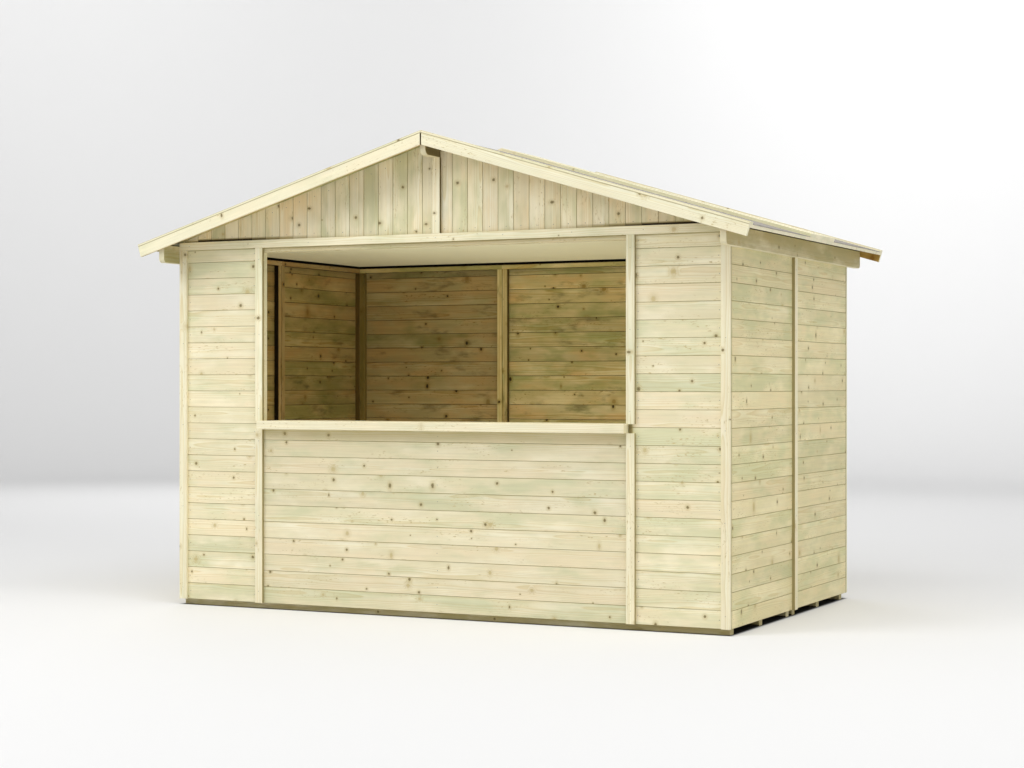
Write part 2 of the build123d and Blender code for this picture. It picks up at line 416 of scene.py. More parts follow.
class Heads:
    """Nail heads that are gathered into one mesh: shallow domes, sunk a little into their faces."""

    sides = 8
    rings = ((1.0, -0.4), (1.0, 0.3), (0.62, 0.82))     # shares of the radius and of the height

    def __init__(self, name, radius=0.0019, height=0.0008):
        self.name = name
        self.radius = radius
        self.height = height
        self.chance = random.Random(name)
        self.points = []
        self.faces = []

    def drive(self, place, out, wander=nail_wander):
        """Add one head on a face that looks out, up to a distance away from its place."""
        across = out.orthogonal().normalized()
        beside = out.cross(across)
        place = place + across * self.chance.uniform(-wander, wander)
        place += beside * self.chance.uniform(-wander, wander)
        first = len(self.points)
        for share, rise in self.rings:
            for side in range(self.sides):
                angle = side / self.sides * 2 * math.pi
                spoke = across * math.cos(angle) + beside * math.sin(angle)
                self.points.append(place + spoke * share * self.radius + out * rise * self.height)
        self.points.append(place + out * self.height)
        self.faces.append(tuple(range(first, first + self.sides)))
        last_ring = first + (len(self.rings) - 1) * self.sides
        for side in range(self.sides):
            following = (side + 1) % self.sides
            for base in range(first, last_ring, self.sides):
                above = base + self.sides
                self.faces.append((base + side, base + following, above + following, above + side))
            self.faces.append((last_ring + side, last_ring + following, last_ring + self.sides))

    def drive_row(self, start, end, out, spacing, margin):
        """Add a row of heads between two ends, kept a margin away from both."""
        length = (end - start).length
        direction = (end - start) / length
        count = max(round((length - 2 * margin) / spacing), 1)
        for index in range(count + 1):
            distance = margin + (length - 2 * margin) * index / count
            self.drive(start + direction * distance, out, row_wander)

    def make(self, slot):
        """Turn the heads into a piece."""
        make_piece(self.name, self.points, self.faces, nail_finish, slot)


# Shader tools


def new_group(name, inputs, outputs):
    """A shader node group. Its inputs are vectors where None is given, colours where tuples are."""
    tree = bpy.data.node_groups.new(name, "ShaderNodeTree")
    for label, value in inputs.items():
        kind = "Vector" if value is None else "Color" if isinstance(value, tuple) else "Float"
        socket = tree.interface.new_socket(label, in_out="INPUT", socket_type=f"NodeSocket{kind}")
        if value is not None:
            socket.default_value = value
    for label in outputs:
        kind = "Color" if label == "Color" else "Float"
        tree.interface.new_socket(label, in_out="OUTPUT", socket_type=f"NodeSocket{kind}")
    return tree, tree.nodes.new("NodeGroupInput").outputs, tree.nodes.new("NodeGroupOutput").inputs


def feed(tree, sockets, values):
    """Feed sockets by their names, from values or from other sockets."""
    for label, value in values.items():
        if isinstance(value, bpy.types.NodeSocket):
            tree.links.new(value, sockets[label])
        else:
            sockets[label].default_value = value
    return tree


def add(tree, kind, inputs=None, **settings):
    """A new node, where inputs pairs sockets with the values or sockets that feed them."""
    node = tree.nodes.new(f"ShaderNode{kind}")
    for setting, value in settings.items():
        setattr(node, setting, value)
    feed(tree, node.inputs, inputs or {})
    return node.outputs


def use(tree, group, inputs):
    """A group placed in a tree with its own values."""
    return add(tree, "Group", inputs, node_tree=group)


def number(tree, operation, first, second=0.0, third=0.0, clamp=False):
    """Result of a sum on numbers."""
    return add(tree, "Math", {0: first, 1: second, 2: third}, operation=operation, use_clamp=clamp)[0]


def vector(tree, operation, first, second):
    """Result of a sum on vectors."""
    return add(tree, "VectorMath", {0: first, 1: second}, operation=operation)[0]


def scaled(tree, value, amount):
    """A vector or colour times a number."""
    return add(tree, "VectorMath", {0: value, "Scale": amount}, operation="SCALE")[0]


def span(tree, value, low_end, high_end, to_low=0.0, to_high=1.0):
    """A value spread smoothly from one range to another."""
    inputs = {
        "Value": value,
        "From Min": low_end,
        "From Max": high_end,
        "To Min": to_low,
        "To Max": to_high,
    }
    return add(tree, "MapRange", inputs, interpolation_type="SMOOTHSTEP")[0]


def paint(tree, amount, under, over, blend="MIX"):
    """One colour laid over another."""
    return add(tree, "Mix", {0: amount, 6: under, 7: over}, data_type="RGBA", blend_type=blend)[2]


def cloud(tree, place, scale, detail=2.0, roughness=0.5):
    """Noise at a place that is stretched by a scale for each direction."""
    inputs = {"Vector": vector(tree, "MULTIPLY", place, scale), "Scale": 1.0}
    return add(tree, "TexNoise", inputs | {"Detail": detail, "Roughness": roughness})


def tint(red, green, blue):
    """A colour as read on a screen, 0 to 255, turned into light."""
    def light(value):
        value /= 255
        return value / 12.92 if value <= 0.04045 else ((value + 0.055) / 1.055) ** 2.4

    return (light(red), light(green), light(blue), 1.0)


def grain_group():
    """Year rings round the middle of the tree, streaks of dense wood, fibres and small scars."""
    inputs = {"Grain": None, "Bulge": 0.0, "Ring Spacing": 0.0042, "Wander": 0.03}
    tree, given, result = new_group("Timber grain", inputs, ("Rings", "Streaks", "Fibre", "Scars"))
    grain = given["Grain"]
    bend = cloud(tree, grain, (0.9, 4.0, 4.0), 3.0, 0.55)["Color"]
    bend = vector(tree, "SUBTRACT", bend, (0.5, 0.5, 0.5))
    bent = vector(tree, "ADD", grain, scaled(tree, bend, given["Wander"]))
    bent = vector(tree, "MULTIPLY", bent, (0.0, 1.0, 1.0))
    from_pith = add(tree, "VectorMath", {0: bent}, operation="LENGTH")["Value"]
    radius = number(tree, "ADD", from_pith, given["Bulge"])
    phase = number(tree, "FRACT", number(tree, "DIVIDE", radius, given["Ring Spacing"]))
    late_wood = number(tree, "MULTIPLY", number(tree, "POWER", phase, 2.2), span(tree, phase, 1.0, 0.9))
    scars = span(tree, cloud(tree, grain, (45.0, 150.0, 150.0), 3.0, 0.6)["Fac"], 0.58, 0.70)
    scarred = span(tree, cloud(tree, grain, (3.0, 13.0, 13.0), 1.0)["Fac"], 0.52, 0.64)
    return feed(tree, result, {
        "Rings": late_wood,
        "Streaks": cloud(tree, grain, (2.2, 80.0, 80.0), 5.0, 0.62)["Fac"],
        "Fibre": cloud(tree, grain, (14.0, 850.0, 850.0), 3.0, 0.6)["Fac"],
        "Scars": number(tree, "MULTIPLY", scars, scarred),
    })


def knot_group():
    """Knots that are scattered over the boards, round or drawn out across the grain."""
    inputs = {"Grain": None, "Apart Along": 0.3, "Apart Across": 0.06}
    inputs |= {"Share": 0.4, "Radius": 0.004, "Drawn Out": 1.6}
    tree, given, result = new_group("Timber knots", inputs, ("Knot", "Halo", "Bulge"))
    spacing = add(tree, "CombineXYZ", {"X": given["Apart Along"], "Y": given["Apart Across"], "Z": 1.0})[0]
    shifted = vector(tree, "ADD", given["Grain"], (0.0, 3.0, 0.0))
    cells = vector(tree, "DIVIDE", shifted, spacing)
    scattering = {"Vector": cells, "Scale": 1.0, "Randomness": 0.9}
    scatter = add(tree, "TexVoronoi", scattering, voronoi_dimensions="2D")
    chance = add(tree, "SeparateColor", {0: scatter["Color"]})
    offset = vector(tree, "MULTIPLY", vector(tree, "SUBTRACT", cells, scatter["Position"]), spacing)
    offset = add(tree, "SeparateXYZ", {0: offset})
    drawn_out = span(tree, chance["Green"], 0.6, 0.9, 1.0, given["Drawn Out"])
    size = number(tree, "MULTIPLY", given["Radius"], number(tree, "MULTIPLY_ADD", chance["Blue"], 1.1, 0.5))
    along = number(tree, "DIVIDE", offset["X"], size)
    across = number(tree, "DIVIDE", offset["Y"], number(tree, "MULTIPLY", size, drawn_out))
    squares = [number(tree, "POWER", value, 2.0) for value in (along, across)]
    distance = number(tree, "SQRT", number(tree, "ADD", *squares))
    ragged = cloud(tree, given["Grain"], (160.0, 160.0, 160.0), 2.0)["Fac"]
    distance = number(tree, "ADD", distance, number(tree, "MULTIPLY_ADD", ragged, 0.8, -0.4))
    present = number(tree, "LESS_THAN", chance["Red"], given["Share"])
    halo = number(tree, "MULTIPLY", span(tree, distance, 3.4, 0.6), present)
    return feed(tree, result, {
        "Knot": number(tree, "MULTIPLY", span(tree, distance, 1.3, 0.5), present),
        "Halo": halo,
        "Bulge": number(tree, "MULTIPLY", number(tree, "MULTIPLY", halo, halo), given["Radius"]),
    })


def treatment_group():
    """Patches where the green treatment soaked in, where resin kept it out, pale sapwood and stains."""
    inputs = {"Grain": None, "Along": 3.6, "Across": 10.0, "Tone": 0.5}
    outputs = ("Green", "Peach", "Pale", "Stain", "Shade")
    tree, given, result = new_group("Treatment clouds", inputs, outputs)
    scale = add(tree, "CombineXYZ", {"X": given["Along"], "Y": given["Across"], "Z": given["Across"]})[0]
    patch = add(tree, "SeparateColor", {0: cloud(tree, given["Grain"], scale, 3.0, 0.55)["Color"]})
    leaning = number(tree, "MULTIPLY_ADD", given["Tone"], 0.24, -0.12)
    return feed(tree, result, {
        "Green": span(tree, number(tree, "ADD", patch["Red"], leaning), 0.44, 0.74),
        "Peach": span(tree, number(tree, "SUBTRACT", patch["Green"], leaning), 0.46, 0.76),
        "Pale": span(tree, patch["Blue"], 0.40, 0.72),
        "Stain": span(tree, cloud(tree, given["Grain"], (5.0, 14.0, 14.0), 4.0, 0.6)["Fac"], 0.55, 0.76),
        "Shade": number(tree, "FRACT", number(tree, "MULTIPLY", given["Tone"], 37.7)),
    })


GRAIN = grain_group()
KNOTS = knot_group()
TREATMENT = treatment_group()


def timber_group():
    """Colour, roughness and height of pressure treated softwood, with the painted shade and highlights of
    its marks.
    """
    inputs = {
        "Cream": tint(231, 223, 189),
        "Green": tint(209, 211, 173),
        "Peach": tint(239, 225, 192),
        "Pale": tint(247, 240, 213),
        "Late Wood": tint(234, 222, 186),
        "Pin Knot": tint(112, 98, 54),
        "Soft Knot": tint(196, 176, 116),
        "Joint": tint(172, 157, 102),
        "Dark": tint(104, 92, 54),
        "Inner": tint(240, 240, 240),
        "Tint": tint(255, 255, 255),
        "Patches": 0.75,
        "Ring Depth": 0.70,
        "Streak Depth": 0.30,
        "Board Contrast": 0.09,
        "Knot Share": 0.40,
        "Knot Radius": 0.0052,
    }
    tree, given, result = new_group("Treated softwood", inputs, ("Color", "Roughness", "Height"))
    grain = add(tree, "Attribute", attribute_name="grain")["Vector"]
    marks = add(tree, "Attribute", attribute_name="marks")["Vector"]
    mark = add(tree, "SeparateXYZ", {0: marks})
    pins = use(tree, KNOTS, {"Grain": grain, "Share": given["Knot Share"], "Radius": given["Knot Radius"]})
    branch = {"Apart Along": 0.75, "Apart Across": 0.09, "Share": 0.45, "Radius": 0.0085, "Drawn Out": 1.9}
    branches = use(tree, KNOTS, {"Grain": grain, **branch})
    bulge = number(tree, "ADD", pins["Bulge"], branches["Bulge"])
    wood = use(tree, GRAIN, {"Grain": grain, "Bulge": bulge})
    patches = use(tree, TREATMENT, {"Grain": grain, "Tone": mark["X"]})

    def much(value, amount, **settings):
        return number(tree, "MULTIPLY", value, amount, **settings)

    colour = given["Cream"]
    for patch in ("Pale", "Peach", "Green"):
        colour = paint(tree, much(patches[patch], given["Patches"]), colour, given[patch])
    colour = paint(tree, much(wood["Rings"], given["Ring Depth"]), colour, given["Late Wood"], "MULTIPLY")
    board_shade = number(tree, "SUBTRACT", patches["Shade"], 0.5)
    lightness = number(tree, "MULTIPLY_ADD", board_shade, given["Board Contrast"], 1.06)
    streaks = number(tree, "SUBTRACT", wood["Streaks"], 0.5)
    lightness = number(tree, "ADD", lightness, much(streaks, given["Streak Depth"]))
    colour = scaled(tree, colour, lightness)
    layers = (
        (branches["Halo"], 0.30, "Soft Knot"),
        (branches["Knot"], 0.55, "Soft Knot"),
        (wood["Scars"], 0.8, "Soft Knot"),
        (pins["Halo"], 0.45, "Soft Knot"),
        (pins["Knot"], 0.85, "Pin Knot"),
        # Marks up to one take the joint colour: on joints, and as painted shade
        (much(mark["Y"], 1.0, clamp=True), 0.85, "Joint"),
    )
    for mask, amount, over in layers:
        colour = paint(tree, much(mask, amount), colour, given[over])
    # Marks above one take the dark colour, a painted shade
    colour = paint(tree, number(tree, "SUBTRACT", mark["Y"], 1.0, clamp=True), colour, given["Dark"])
    # Negative marks take the pale colour, a painted highlight
    colour = paint(tree, much(mark["Y"], -0.5, clamp=True), colour, given["Pale"])
    # The tint is a painted shade in the finishes that set it
    colour = vector(tree, "MULTIPLY", colour, given["Tint"])
    # Faces marked as inside get the squared colour times the inner colour: the painted shade of the inside
    indoors = vector(tree, "MULTIPLY", vector(tree, "MULTIPLY", colour, colour), given["Inner"])
    stains = (
        ("Stain", 0.75, (150, 150, 128)),
        ("Peach", 0.4, (255, 232, 196)),
        ("Green", 0.5, (222, 226, 190)),
    )
    for patch, amount, over in stains:
        indoors = paint(tree, much(patches[patch], amount), indoors, tint(*over), "MULTIPLY")
    rough = number(tree, "MULTIPLY_ADD", wood["Streaks"], 0.15, 0.5)
    height = number(tree, "MULTIPLY_ADD", wood["Rings"], 0.5, much(wood["Fibre"], 0.3))
    return feed(tree, result, {
        "Color": paint(tree, mark["Z"], colour, indoors),
        "Roughness": number(tree, "SUBTRACT", rough, much(pins["Knot"], 0.12)),
        "Height": number(tree, "ADD", height, much(pins["Knot"], 0.1)),
    })


TIMBER = timber_group()


def new_material(name, specular):
    """A material with its node tree and the sockets of its shader."""
    material = bpy.data.materials.new(name)
    material.use_nodes = True
    sockets = material.node_tree.nodes["Principled BSDF"].inputs
    sockets["Specular IOR Level"].default_value = specular
    return material, material.node_tree, sockets


def bumps(tree, height, strength, distance):
    """Normals from a height."""
    return add(tree, "Bump", {"Height": height, "Strength": strength, "Distance": distance})[0]


def timber_finish(name, **values):
    """A treated timber material, with its own values for the shared timber group."""
    material, tree, shader = new_material(name, specular=0.35)
    timber = use(tree, TIMBER, {label.replace("_", " ").title(): value for label, value in values.items()})
    normal = bumps(tree, timber["Height"], strength=0.6, distance=0.0005)
    feed(tree, shader, {"Base Color": timber["Color"], "Roughness": timber["Roughness"], "Normal": normal})
    return material


def plain_finish(name, colour, variation, scale, roughness, metallic=0.0, relief=0.0003, specular=0.5):
    """A material of one colour with grains or stains of a size, for felt, steel and sheet."""
    material, tree, shader = new_material(name, specular)
    place = add(tree, "TexCoord")["Object"]
    fine = cloud(tree, place, (scale, scale, scale), 4.0, 0.65)["Fac"]
    broad = cloud(tree, place, (3.0, 3.0, 3.0), 3.0)["Fac"]
    change = number(tree, "ADD", fine, number(tree, "MULTIPLY", broad, 0.5))
    lightness = number(tree, "MULTIPLY_ADD", number(tree, "SUBTRACT", change, 0.75), variation, 1.0)
    feed(tree, shader, {
        "Base Color": scaled(tree, colour[:3], lightness),
        "Roughness": number(tree, "MULTIPLY_ADD", fine, 0.2, roughness),
        "Normal": bumps(tree, fine, strength=0.8, distance=relief),
        "Metallic": metallic,
    })
    return material


wall_finish = timber_finish("wall boards")
# The lower wall boards are the wall boards tinted darker: painted shade low on the front wall
lower_painted_shade_finish = timber_finish("lower wall boards", tint=tint(247, 247, 248))
# The lintel boards are the wall boards tinted darker: painted shade under the batten
lintel_painted_shade_finish = timber_finish("lintel boards", tint=tint(238, 234, 222))
# The back corner boards are darker inside: painted shade in the corner
back_corner_painted_shade_finish = timber_finish("back corner boards", inner=tint(203, 201, 198))
# The side wall boards have more board contrast and knots; their warmer tint and darker inside are painted
# shade
side_finish_and_painted_shade = timber_finish(
    "side wall boards",
    tint=tint(249, 246, 230),
    inner=tint(204, 198, 205),
    board_contrast=0.12,
    knot_share=0.5,
)
# The gable boards' dark colour is the painted shade at their feet under the eaves
gable_finish_and_painted_shade = timber_finish(
    "gable boards",
    cream=tint(238, 230, 198),
    green=tint(208, 207, 166),
    peach=tint(240, 222, 180),
    dark=tint(46, 37, 18),
    patches=0.9,
    board_contrast=0.14,
)
roof_finish = timber_finish("roof boards")
frame_cream = tint(236, 226, 190)
frame_finish = timber_finish("frame timber", cream=frame_cream, patches=0.5)
# The side walls' frames are the frame timber, darker inside: painted shade
side_frame_painted_shade_finish = timber_finish(
    "side frame timber",
    cream=frame_cream,
    inner=tint(200, 190, 184),
    patches=0.5,
)
trim_finish = timber_finish("trim timber", cream=tint(238, 232, 202), knot_share=0.3, patches=0.5)
# The barge boards' inner colour is the painted shade of their faces under the roof
barge_finish_and_painted_shade = timber_finish(
    "barge timber",
    cream=tint(236, 232, 204),
    inner=tint(222, 190, 150),
    knot_share=0.2,
    patches=0.4,
)
# The purlins are coloured darker, a painted shade under the roof, and their dark colour is the painted
# shade along their tops
purlin_finish_and_painted_shade = timber_finish(
    "purlin timber",
    cream=tint(194, 184, 136),
    green=tint(170, 170, 122),
    peach=tint(200, 186, 136),
    dark=tint(34, 28, 12),
    patches=0.6,
)
counter_finish = timber_finish("counter board", cream=tint(238, 232, 203), knot_share=0.3, patches=0.4)
floor_finish = timber_finish("floor boards", cream=tint(212, 200, 156))
# The bearers' dark colour is the painted shade where they stand on the ground and under the boards
bearer_finish_and_painted_shade = timber_finish(
    "bearer timber",
    cream=tint(188, 176, 122),
    green=tint(166, 160, 108),
    peach=tint(192, 176, 126),
    dark=tint(34, 28, 14),
    patches=0.6,
)
ceiling_finish = plain_finish("ceiling board", tint(244, 241, 206), 0.08, 40.0, 0.55)
felt_finish = plain_finish("mineral felt", tint(156, 150, 141), 0.6, 700.0, 0.75, relief=0.001)
nail_finish = plain_finish("galvanised nails", tint(150, 148, 140), 0.3, 300.0, 0.4, metallic=0.8)
# Near-black strips that stand for the shadow in the open joint round the ceiling: painted shadow
shadow_strip_finish = plain_finish("painted shadow strip", tint(10, 7, 4), 0.3, 200.0, 0.75, specular=0.05)


# Level boards of the walls


notch_shade = (0.014, 0.012, brown_mark)    # length, fade and mark of the board ends beside the counter
counter_shadow_marks = (0.6, 0.2)                  # painted shadow at the top and bottom of the board under the counter
shortest_nailed = 0.03
nail_margin = 0.003                         # from the ends of a board
stud_shares = (0.5, 0.08, 0.92)             # places across a stud where a nail may go, the best one first


def nail_feet(studs, origin, along, length):
    """The foot of each column of nails: over each stud, the first place that no strip covers."""
    for lowest, highest in solids(studs):
        start, end = sorted(((lowest - origin).dot(along), (highest - origin).dot(along)))
        for share in stud_shares:
            distance = start + share * (end - start)
            place = origin + along * distance
            above_ground = place + UP * counter_low.z / 2
            if nail_margin < distance < length - nail_margin and not under_trim(above_ground):
                yield place
                break


def board_field(node, finish, heads, studs, origin, along, inward, length, top_line=None, shaded_at=None):
    """Fill a node with level boards, and nail each to the studs of its wall.

    Their joints keep the same heights all round the stall. A batten or the counter can shade a board
    at one height.
    """
    bottom, top = low(node).z, high(node).z
    work = Joinery(f"{node}_boards")
    feet = list(nail_feet(studs, origin, along, length))
    first = math.floor((bottom - boards_bottom) / board_cover + tiny)
    course = boards_bottom + first * board_cover
    beside_counter = along.x * origin.x > 0 and abs(abs(origin.x) - counter_high.x) < nearly
    while course < top - tiny:
        board_low = max(course, bottom)
        board_high = min(course + board_cover, top)
        section = tongue_section(
            board_high - board_low,
            cladding,
            first_joint=course > bottom - tiny and board_low > boards_bottom + tiny,
            last_joint=course + board_cover < top - tiny,
            cut_mark=joint_mark,
            far_mark=inner_joint_mark,
        )
        if top_line:
            section = [(min(a, top_line(d) - board_low), d, mark) for a, d, mark in section]
        if shaded_at and board_low < shaded_at < board_high:
            edge = shaded_at - board_low
            section += [(edge, 0, olive_mark), (edge - shade, 0, 0)]
        if shaded_at == board_high:
            section[-1] = (*section[-1][:2], counter_shadow_marks[0])
            section[0] = (*section[0][:2], counter_shadow_marks[1])
        work.next_board(board_cover)
        place = placing(origin + UP * board_low, along, UP, inward)
        notched = beside_counter and board_low < counter_high.z and board_high > counter_low.z
        work.prism(section, 0.0, length, place, inner=FAR_FACE, foot=notch_shade if notched else None)
        for foot in feet:
            nail_place = foot + UP * (board_low + board_high) / 2
            if board_high - board_low > shortest_nailed and not under_trim(nail_place):
                heads.drive(nail_place, -inward)
        course += board_cover
    work.make(finish, "wall_boards", node)


level_fields = (
    ("front_wall_left", wall_finish),
    ("front_wall_right", wall_finish),
    ("back_wall_centre", wall_finish),
    ("back_wall_right", wall_finish),
    ("front_lintel", lintel_painted_shade_finish),
    ("front_wall_lower", lower_painted_shade_finish),
    ("back_wall_left", back_corner_painted_shade_finish),
)
wall_nails = {wall: Heads(f"{wall}_wall_nails") for wall in ("front", "back")}
for node, finish in level_fields:
    lowest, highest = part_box(node)
    wall, y_face, inward = ("front", lowest.y, BACKWARD) if lowest.y < 0 else ("back", highest.y, -BACKWARD)
    start_x, along = (highest.x, -ACROSS) if node == "front_wall_left" else (lowest.x, ACROSS)
    board_field(
        node,
        finish,
        wall_nails[wall],
        f"{wall}_wall_studs",
        Vector((start_x, y_face, 0)),
        along,
        inward,
        highest.x - lowest.x,
        shaded_at=highest.z if node == "front_wall_lower" else batten_bottom,
    )

for place_name, side in SIDES:
    side_nails = Heads(f"{place_name}_wall_nails")
    for half in ("front", "rear"):
        node = f"{place_name}_wall_{half}"
        board_field(
            node,
            side_finish_and_painted_shade,
            side_nails,
            f"{place_name}_wall_studs",
            Vector((side * wall_right, low(node).y, 0)),
            BACKWARD,
            -side * ACROSS,
            high(node).y - low(node).y,
            top_line=lambda depth: underside(wall_right - depth),
        )
    side_nails.make("wall_boards")
for wall in ("front", "back"):
    wall_nails[wall].make("wall_boards")

# Gables: upright boards, counted from the middle, with a notch for the ridge purlin
gable_nail_margin = 0.022       # above the batten, and below the roof boards
shortest_gable_board = 0.11     # that gets a nail at its top as well
purlin_edge = high("ridge_purlin").x
purlin_bottom = low("ridge_purlin").z
foot_shade_start = 0.70              # distance from the middle where the painted shade at the feet of the boards starts
foot_shade_end = 1.15
foot_shade_height = 0.008            # above the batten
foot_shade_fade = 0.010


def gable_foot(board_end):
    """Height, fade and mark of the painted shade at the foot of a gable board, low down under the eaves."""
    share = min(max((board_end - foot_shade_start) / (foot_shade_end - foot_shade_start), 0.0), 1.0)
    board_height = underside(board_end) - level_boards_top
    foot_height = min(batten_top - level_boards_top + foot_shade_height, board_height - 1.1 * foot_shade_fade)
    return (foot_height, foot_shade_fade, dark_mark * share) if share else None


gable_nails = Heads("gable_nails")
for face, face_y, inward in (("front", wall_front, BACKWARD), ("back", wall_back, -BACKWARD)):
    for place_name, side in SIDES:
        node = f"gable_{face}_{place_name}"
        work = Joinery(f"{node}_boards")
        start = 0.0
        while start < wall_right - tiny:
            end = min(start + gable_cover, wall_right)
            work.next_board(gable_cover)
            beside = max(start, purlin_edge)
            section = tongue_section(end - beside, cladding, start > 0, end < wall_right)
            place = placing(Vector((side * beside, face_y, 0)), UP, side * ACROSS, inward)
            cut = lambda across, depth, beside=beside: underside(beside + across)
            work.prism(section, level_boards_top, cut, place, inner=FAR_FACE, foot=gable_foot(end))
            if beside > start:
                notch = tongue_section(purlin_edge, cladding, False, False)
                place = placing(Vector((0, face_y, 0)), UP, side * ACROSS, inward)
                work.prism(notch, level_boards_top, purlin_bottom, place, inner=FAR_FACE)
            middle = (start + end) / 2
            heights = [batten_top + gable_nail_margin, underside(end) - gable_nail_margin]
            for height in heights if heights[1] - heights[0] > shortest_gable_board else heights[:1]:
                nail_place = Vector((side * middle, face_y, height))
                if height < underside(end) and not under_trim(nail_place):
                    gable_nails.drive(nail_place, -inward)
            start = end
        work.make(gable_finish_and_painted_shade, "gable_boards", node)
gable_nails.make("gable_boards")

# Square timber that fills its solids, with the mark of its two sides, a painted shade: frames, strips,
# battens
back_stud_start = 0.5           # the studs behind this depth stand at the back
corner_stud_start = 1.3         # and those as far as this from the middle stand in a corner
corner_face_mark = 0.8          # the corners get little light
square_timber = (
    ("back_wall_rails", frame_finish, "frame_timber", ALL_ROUND, brown_mark),
    ("back_wall_studs", frame_finish, "frame_timber", ALL_ROUND, brown_mark),
    ("front_wall_rails", trim_finish, "frame_timber", OUTDOORS, 0.0),
    # The front wall's studs take the lighter trim timber: painted light on the sides of the opening
    ("front_wall_studs", trim_finish, "frame_timber", OUTDOORS, 0.0),
    ("left_wall_rails", side_frame_painted_shade_finish, "frame_timber", ALL_ROUND, brown_mark),
    ("left_wall_studs", side_frame_painted_shade_finish, "frame_timber", ALL_ROUND, dark_mark),
    ("right_wall_rails", side_frame_painted_shade_finish, "frame_timber", ALL_ROUND, brown_mark),
    ("right_wall_studs", side_frame_painted_shade_finish, "frame_timber", ALL_ROUND, dark_mark),
    ("corner_strips", trim_finish, "trim_timber", OUTDOORS, 0.0),
    ("joint_strips", trim_finish, "trim_timber", OUTDOORS, olive_mark),
    ("opening_strips", trim_finish, "trim_timber", OUTDOORS, olive_mark),
    ("gable_strips", trim_finish, "trim_timber", OUTDOORS, dark_mark),
    ("gable_battens", trim_finish, "trim_timber", OUTDOORS, joint_mark),
)
for node, finish, slot_name, inner, side_mark in square_timber:
    work = Joinery(f"{node}_timber")
    for lowest, highest in solids(node):
        at_back = node.endswith("wall_studs") and lowest.y > back_stud_start
        mark = olive_mark if at_back else side_mark
        face_mark = 0.0
        if at_back and abs(lowest.x) > corner_stud_start:
            mark = joint_mark
            face_mark = corner_face_mark
        work.timber(lowest, highest, inner=inner, sides=(mark, mark), face_mark=face_mark)
    work.make(finish, slot_name, node)

# Nails through the strips and battens, in a row along the middle of each
trim_nail_spacing = 0.38
trim_nail_margin = 0.06
trim_nails = Heads("trim_nails", radius=0.0017)
for lowest, highest in trim_boxes:
    size = highest - lowest
    order = sorted(range(3), key=lambda axis: size[axis])
    out = Vector([float(axis == order[0]) * math.copysign(1, lowest[axis]) for axis in range(3)])
    reach = Vector([float(axis == order[2]) * size[axis] / 2 for axis in range(3)])
    face = (lowest + highest) / 2 + out * size[order[0]] / 2
    trim_nails.drive_row(face - reach, face + reach, out, trim_nail_spacing, trim_nail_margin)
trim_nails.make("trim_timber")

# Floor: bearers, and boards laid from front to back over them
for half in ("front", "rear"):
    work = Joinery(f"floor_bearers_{half}_timber")
    for lowest, highest in solids(f"floor_bearers_{half}"):
        work.timber(lowest, highest, rule=bearer_section)
    work.make(bearer_finish_and_painted_shade, "bearer_timber", f"floor_bearers_{half}")

for half in ("front", "rear"):
    node = f"floor_boards_{half}"
    lowest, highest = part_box(node)
    work = Joinery(f"{node}_laid")
    floor_nails = Heads(f"floor_nails_{half}")
    bearers = solids(f"floor_bearers_{half}")
    count = round((highest.x - lowest.x) / floor_cover)
    width = (highest.x - lowest.x) / count
    for index in range(count):
        section = tongue_section(width, highest.z - lowest.z, index > 0, index < count - 1)
        place = placing(Vector((lowest.x + index * width, lowest.y, highest.z)), BACKWARD, ACROSS, -UP)
        work.next_board(width)
        work.prism(section, 0.0, highest.y - lowest.y, place)
        board_middle = lowest.x + (index + 0.5) * width
        for bearer_low, bearer_high in bearers:
            bearer_middle = (bearer_low.y + bearer_high.y) / 2
            floor_nails.drive(Vector((board_middle, bearer_middle, highest.z)), UP, floor_wander)
    work.make(floor_finish, "floor_boards", node)
    floor_nails.make("floor_boards")

# Counter: boards side by side
counter_board_count = 2
counter_board_width = (counter_high.y - counter_low.y) / counter_board_count
work = Joinery("counter_boards")
for index in range(counter_board_count):
    work.timber(
        Vector((counter_low.x, counter_low.y + index * counter_board_width, counter_low.z)),
        Vector((counter_high.x, counter_low.y + (index + 1) * counter_board_width, counter_high.z)),
        rounding=counter_arris,
    )
work.make(counter_finish, "counter_board", "counter")

# Ceiling sheet, and near-black strips of painted shadow in front of the open joint round it
work = Joinery("ceiling_sheet")
work.timber(*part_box("ceiling"))
work.make(ceiling_finish, "ceiling_board", "ceiling")

shadow_strip_thickness = 0.0025
shadow_strip_lap = 0.007                # over the top rails
shadow_strip_arris = 0.0006
shadow_strip_bottom = high("back_wall_rails").z - shadow_strip_lap
shadow_strip_top = low("ceiling").z
frame_face_x = abs(high("left_wall_rails").x)
frame_face_y = low("back_wall_rails").y
shadow_strip_face_x = frame_face_x - shadow_strip_thickness
shadow_strip_boxes = [
    (
        Vector((min(side * frame_face_x, side * shadow_strip_face_x), high("front_wall_studs").y, shadow_strip_bottom)),
        Vector((max(side * frame_face_x, side * shadow_strip_face_x), frame_face_y, shadow_strip_top)),
    )
    for side in (LEFT, RIGHT)
]
shadow_strip_boxes.append((
    Vector((-shadow_strip_face_x, frame_face_y - shadow_strip_thickness, shadow_strip_bottom)),
    Vector((shadow_strip_face_x, frame_face_y, shadow_strip_top)),
))
work = Joinery("ceiling_seal_strips")
for box in shadow_strip_boxes:
    work.timber(*box, rounding=shadow_strip_arris)
work.make(shadow_strip_finish, "roof_felt")

# Purlins, rounded under both ends, with a painted shade along the top and over the faces of the ridge
# purlin
purlins = (("ridge_purlin", 0.030, brown_mark), ("eave_purlins", 0.020, 0.0))


